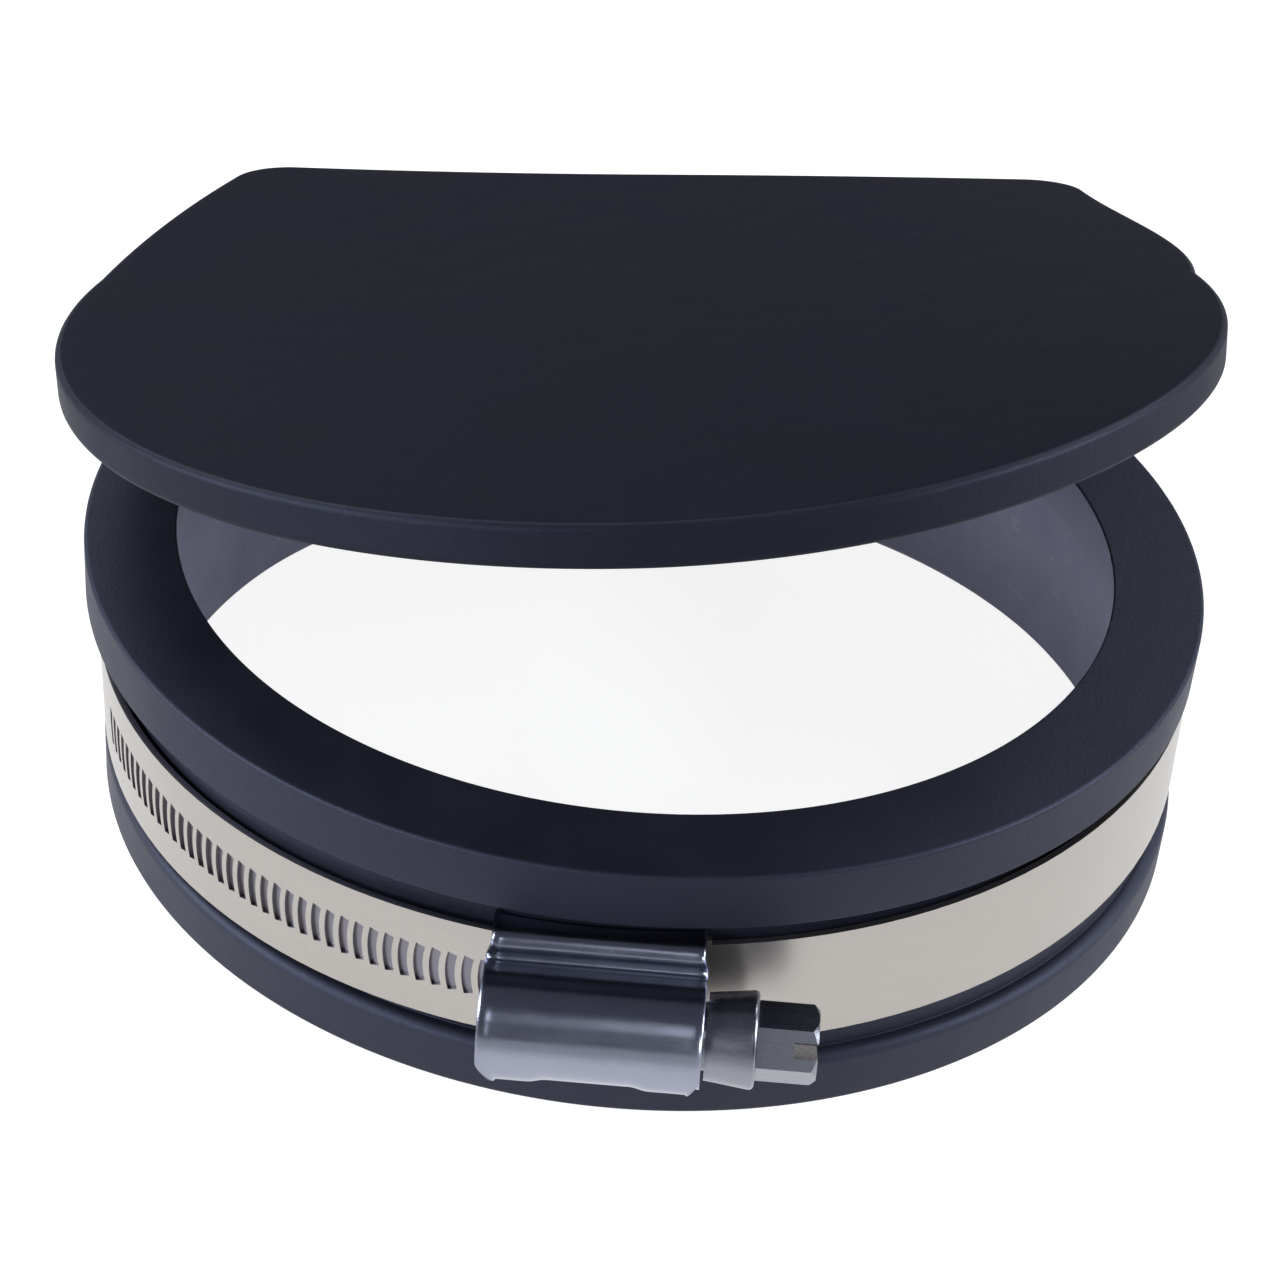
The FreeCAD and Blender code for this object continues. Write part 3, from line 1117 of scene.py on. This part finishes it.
    @staticmethod
    def placement() -> Matrix:
        """The clamp's own frame: X along the screw, Z along the band's axis.

        Returns:
            The matrix from that frame to the valve's.
        """
        along = Vector(JOINTS["screw_turn"]["axis"]).normalized()
        up = Vector(JOINTS["tail_travel"]["axis"]).normalized()
        inward = up.cross(along)
        turned = Matrix((along, inward, up)).transposed().to_4x4()
        return Matrix.Translation(Vector(JOINTS["tail_travel"]["pos_m"])) @ turned

    def grown(self, x: float) -> float:
        """How far the sheet is flared outward at a place along the screw.

        Args:
            x: The place.

        Returns:
            The distance, 0 except near the two ends.
        """
        at_left = min(max(1 - (x - self.left) / self.flare_len, 0.0), 1.0)
        at_right = min(max(1 - (self.right - x) / (self.flare_len * self.right_len), 0.0), 1.0)
        left, right = (1 - math.sqrt(1 - near**2) for near in (at_left, at_right))
        return self.flare * left + self.flare * self.right_flare * right

    def swollen(self, x: float, angle: float) -> float:
        """Extra radius of the barrel's lower side towards both ends, where the sheet is crimped.

        Args:
            x: Place along the screw.
            angle: Angle round the barrel, less than 0 below the screw.

        Returns:
            The extra radius.
        """
        down = -math.degrees(angle)
        first, last = self.swell_in_deg, self.swell_out_deg
        low = ease((down - first[0]) / first[1]) * ease((last[0] - down) / last[1])
        half = (self.right - self.left) / 2
        off = abs(x - (self.left + self.right) / 2) / half
        return self.swell * low * ease((off - self.waist[0]) / self.waist[1])

    def cut(self, x: float, z: float) -> float:
        """Where a point of the sheet lies along the screw, with the corners of both ends cut back.

        Args:
            x: Its place before the cut.
            z: Its height over the screw.

        Returns:
            Its place after the cut.
        """
        at_left = min(max(1 - (x - self.left) / self.cut_reach, 0.0), 1.0) ** 2
        at_right = min(max(1 - (self.right - x) / self.cut_reach, 0.0), 1.0) ** 2
        low = ease((-z / MM - self.cut_low_mm[0]) / self.cut_low_mm[1])
        high = ease((z / MM - self.cut_high_mm[0]) / self.cut_high_mm[1])
        return (
            x + at_left * (self.cut_low[0] * low + self.cut_high[0] * high)
            - at_right * (self.cut_low[1] * low + self.cut_high[1] * high)
        )

    def section(self, x: float, inner: bool) -> list[Vector]:
        """One line of points over the sheet, from the lower skirt to the upper one.

        Args:
            x: Place along the screw.
            inner: Whether the line runs on the inside of the sheet.

        Returns:
            The points, in the clamp's own frame.
        """
        grow = self.grown(x) - (self.sheet if inner else 0.0)
        radius, top = self.barrel + grow, self.shoulder + grow
        half, bend = self.half_width + grow, self.bend + grow
        skirt = math.sqrt(self.skirt**2 - x * x)
        hollow = self.crease + (self.sheet if inner else 0.0)
        heart_o = top + hollow
        crease = math.acos((heart_o - self.axis) / (radius + hollow))
        heart_z = (radius + hollow) * math.sin(crease)
        side: list[tuple[float, float]] = []
        for k in range(self.skirt_steps + 1):
            side.append((skirt + (top - bend - skirt) * k / self.skirt_steps, half))
        for k in range(1, self.bend_steps + 1):
            a = math.pi / 2 * k / self.bend_steps
            side.append((top - bend + bend * math.sin(a), half - bend + bend * math.cos(a)))
        for k in self.flat_marks:
            side.append((top, half - bend + (heart_z - half + bend) * k / self.flat_steps))
        for k in range(self.crease_steps):
            a = math.pi + (math.pi - crease) * k / self.crease_steps
            side.append((heart_o + hollow * math.cos(a), heart_z + hollow * math.sin(a)))
        lower = [(o, -z) for o, z in side]
        upper = list(reversed(side))
        barrel = []
        for k in range(self.barrel_steps + 1):
            a = -crease + 2 * crease * k / self.barrel_steps
            r = radius + self.swollen(x, a)
            barrel.append((self.axis + r * math.cos(a), r * math.sin(a)))
        return [Vector((self.cut(x, z), -o, z)) for o, z in lower + barrel + upper]

    def stations(self) -> list[float]:
        """Places along the screw, closer together at the flared ends.

        Returns:
            The places, from left to right.
        """
        near, far = [], []
        for k in range(self.left_stations + 1):
            near.append(self.left + self.flare_len * (1 - math.cos(math.pi / 2 * k / self.left_stations)))
        for k in range(self.right_stations + 1):
            back = 1 - math.cos(math.pi / 2 * k / self.right_stations)
            far.append(self.right - self.flare_len * self.right_len * back)
        count = self.run_stations
        run = [near[-1] + (far[-1] - near[-1]) * k / count for k in range(1, count)]
        return near + run + list(reversed(far))

    def shell(self, material: bpy.types.Material) -> None:
        """The pressed sheet.

        Args:
            material: Its finish.
        """
        place = self.placement()
        places = self.stations()
        mesh = bmesh.new()
        outer = [[mesh.verts.new(place @ p) for p in self.section(x, False)] for x in places]
        inner = [[mesh.verts.new(place @ p) for p in self.section(x, True)] for x in places]
        count = len(outer[0])
        for grid in (outer, inner):
            for near, far in zip(grid, grid[1:]):
                for i in range(count - 1):
                    mesh.faces.new((near[i], near[i + 1], far[i + 1], far[i]))
        for row in (0, -1):
            for i in range(count - 1):
                mesh.faces.new((outer[row][i], outer[row][i + 1], inner[row][i + 1], inner[row][i]))
        for end in (0, -1):
            for i in range(len(places) - 1):
                mesh.faces.new((outer[i][end], outer[i + 1][end], inner[i + 1][end], inner[i][end]))
        piece = new_piece("housing_shell", mesh, [material], self.sharp_deg)
        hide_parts("clamp_housing")
        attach(piece, Body.CUFF.value)

    def wall(self, name: str, start: float, stop: float, hole: float, material: bpy.types.Material) -> None:
        """An end wall of the barrel, with the screw's hole in it.

        Args:
            name: The piece's name.
            start: Its first place along the screw.
            stop: Its last place along the screw.
            hole: Radius of the hole.
            material: Its finish.
        """
        place = self.placement()
        limit = self.axis - self.band_clear
        outer = self.barrel - self.sheet / 2
        rows = []
        for x, at_rim in ((start, False), (stop, False), (stop, True), (start, True)):
            row = []
            for k in range(self.hole_steps):
                a = math.tau * k / self.hole_steps
                c = math.cos(a)
                reach = min(outer, limit / -c) if c < 0 else outer
                r = reach if at_rim else hole
                row.append(place @ Vector((x, -(self.axis + r * c), r * math.sin(a))))
            rows.append(row)
        piece = new_piece(name, hoop(rows), [material], self.sharp_deg)
        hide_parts("clamp_housing")
        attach(piece, Body.CUFF.value)

    def build(self) -> None:
        """Make the shell and its two end walls."""
        material = self.finish.build()
        self.shell(material)
        self.wall("housing_wall_right", self.right - self.sheet, self.right, self.neck_hole, material)
        left = self.left + self.wall_in
        self.wall("housing_wall_left", left, left + self.sheet, self.pilot_hole, material)


@dataclass
class Clamp:
    """Band, housing and worm screw."""

    housing: Housing = field(default_factory=Housing)
    strip_finish: RolledSteel = field(default_factory=lambda: RolledSteel("rolled_strip"))
    # The grooved tail's finish paints shade and dirt into its grooves below the crest.
    tail_finish: RolledSteel = field(
        default_factory=lambda: RolledSteel("grooved_strip", crest=63.05 * MM)
    )
    # The screw's tone, likewise darker and bluer than bare steel, is partly a painted reflection.
    screw_finish: PolishedSteel = field(
        default_factory=lambda: PolishedSteel(
            "turned_screw", tone=(0.24, 0.245, 0.285), pale=(0.34, 0.335, 0.36), rough=0.22)
    )

    def build(self) -> None:
        """Make the housing and dress the carried-over pieces."""
        strip = self.strip_finish.build()
        dress("band_strip", strip)
        dress("clamp_saddle", strip)
        dress("band_tail", self.tail_finish.build())
        self.housing.build()
        dress("worm_screw", self.screw_finish.build())


@dataclass(frozen=True)
class Lamp:
    """One soft rectangular lamp that faces the valve."""

    name: str
    place: tuple[float, float, float]
    width: float
    height: float
    watts: float
    tint: Colour = (0.88, 0.93, 1.0)
    target: tuple[float, float, float] = (0.0, 0.0, 0.03)

    def build(self) -> None:
        """Hang the lamp."""
        light = bpy.data.lights.new(self.name, "AREA")
        light.shape = "RECTANGLE"
        light.size = self.width
        light.size_y = self.height
        light.energy = self.watts
        light.color = self.tint
        place = Vector(self.place)
        holder = bpy.data.objects.new(self.name, light)
        holder.location = place
        holder.rotation_euler = (place - Vector(self.target)).to_track_quat("Z", "Y").to_euler()
        bpy.context.scene.collection.objects.link(holder)


@dataclass
class Studio:
    """Pale floor, soft lamps, and a surround that is white to the camera and dim to the valve."""

    floor_radius: float = 4.0
    floor_sides: int = 96
    floor_drop: float = 0.05 * MM
    floor_tone: Colour = (0.34, 0.34, 0.34)
    floor_rough: float = 0.9
    floor_glow: float = 0.86
    haze_start: float = 0.6
    haze_reach: float = 1.6
    # The floor's painted pool of light for reflections: its centre's offset back, its end, its fade, and the dim
    # level beyond it.
    pool_back: float = 0.03
    pool_end: float = 0.153
    pool_fade: float = 0.036
    pool_rim: float = 0.25
    backdrop_sheen: float = 0.06
    height_stops: Stops = ((0.0, 0.0), (0.15, 0.7), (0.5, 1.0))
    overhead: Colour = (0.095, 0.10, 0.125)
    horizon: Colour = (0.16, 0.16, 0.18)
    lamps: tuple[Lamp, ...] = (
        Lamp("left_soft", (-0.90, -0.15, 0.40), 0.50, 0.50, 9.0),
        Lamp("right_soft", (0.90, -0.10, 0.40), 0.50, 0.50, 9.0),
        Lamp("back_left", (-0.55, 0.65, 0.75), 0.40, 0.40, 4.0),
        Lamp("back_right", (0.60, 0.60, 0.75), 0.40, 0.40, 4.0),
        Lamp("front_glint", (0.032, -0.49, 0.435), 0.075, 0.20, 0.14),
        Lamp("head_glint", (0.062, -0.63, 0.22), 0.045, 0.22, 0.060),
        Lamp("front_left", (-0.60, -0.70, 0.24), 0.40, 0.30, 4.5),
    )

    def floor(self) -> None:
        """A wide pale disc under the valve that shows white and keeps the shadow, and to reflections shows a
        painted pool of light round the valve with painted shade further out.
        """
        mesh = bmesh.new()
        bmesh.ops.create_circle(mesh, cap_ends=True, segments=self.floor_sides, radius=self.floor_radius)
        data = bpy.data.meshes.new("floor")
        mesh.to_mesh(data)
        mesh.free()
        disc = bpy.data.objects.new("floor", data)
        disc.location.z = -self.floor_drop
        bpy.context.scene.collection.objects.link(disc)
        material, g = new_material("floor_white")
        camera, glossy, through = g.rays()
        aside, depth, _ = g.parts(g.object_place())
        # Painted pool of light seen only by glossy rays: full glow near the valve, fading to painted shade further
        # out.
        back = depth - self.pool_back
        away = g.math("SQRT", aside * aside + back * back)
        near = ((self.pool_end - away) / self.pool_fade).clamp(0.0, 1.0)
        painted_pool_light = near * (1 - self.pool_rim) + self.pool_rim
        haze = ((away - self.haze_start) / self.haze_reach).clamp(0.0, 1.0)
        white = haze * (1 - self.floor_glow) + self.floor_glow
        seen = (camera * white + (glossy * painted_pool_light + through) * self.floor_glow).clamp(0.0, 1.0)
        surface(g, {
            "Base Color": self.floor_tone,
            "Roughness": self.floor_rough,
            "Specular IOR Level": 0.0,
            "Emission Color": g.mix(seen, (0.0, 0.0, 0.0), (1.0, 1.0, 1.0)),
            "Emission Strength": 1.0,
        })
        data.materials.append(material)

    def surround(self) -> None:
        """The world: white to the camera, and to the valve brighter low down than overhead."""
        world = bpy.data.worlds.new("surround")
        bpy.context.scene.world = world
        world.use_nodes = True
        g = Graph(world.node_tree)
        direction = Sock(g, g.node("ShaderNodeTexCoord").outputs["Generated"])
        _, _, up = g.parts(direction)
        height = g.ramp(up, self.height_stops)
        colour = g.mix(height, self.horizon, self.overhead)
        camera, glossy, through = g.rays()
        seen = (camera + (glossy + through) * (1 - height) * self.backdrop_sheen).clamp(0.0, 1.0)
        colour = g.mix(seen, colour, (1.0, 1.0, 1.0))
        glow = g.node("ShaderNodeBackground", inputs={"Color": colour, "Strength": 1.0})
        g.node("ShaderNodeOutputWorld", inputs={0: Sock(g, glow.outputs[0])})

    def build(self) -> None:
        """Floor, surround and lamps."""
        self.floor()
        self.surround()
        for lamp in self.lamps:
            lamp.build()
        LOG.info("studio ready")


@dataclass
class ViewCamera:
    """Camera in front of the valve, looking down on it with a slight roll."""

    place: Vector = field(default_factory=lambda: Vector((-0.869, -288.54, 214.664)) * MM)
    elevation_deg: float = 34.631
    roll_deg: float = 5.16
    lens: float = 84.09
    sensor: float = 36.0
    clip_start: float = 0.01

    def build(self) -> None:
        """Add the camera and make it the scene's own."""
        data = bpy.data.cameras.new("view")
        data.lens = self.lens
        data.sensor_width = self.sensor
        data.clip_start = self.clip_start
        holder = bpy.data.objects.new("view", data)
        tilt = Matrix.Rotation(math.radians(90.0 - self.elevation_deg), 4, "X")
        roll = Matrix.Rotation(math.radians(self.roll_deg), 4, "Z")
        holder.matrix_world = Matrix.Translation(self.place) @ tilt @ roll
        bpy.context.scene.collection.objects.link(holder)
        bpy.context.scene.camera = holder
        LOG.info("camera ready")


def main() -> None:
    """Build the valve's pieces and finishes, then the studio and the camera."""
    logging.basicConfig(level=logging.INFO, format="%(name)s: %(message)s")
    bpy.context.scene.view_settings.view_transform = "Standard"
    rubber = Cuff().build()
    hinge = Hinge()
    flap = Flap(hinge)
    flap.build()
    web = HingeWeb(hinge, flap)
    web.lower(rubber)
    web.upper(rubber)
    Clamp().build()
    Studio().build()
    ViewCamera().build()


if __name__ == "__main__":
    main()
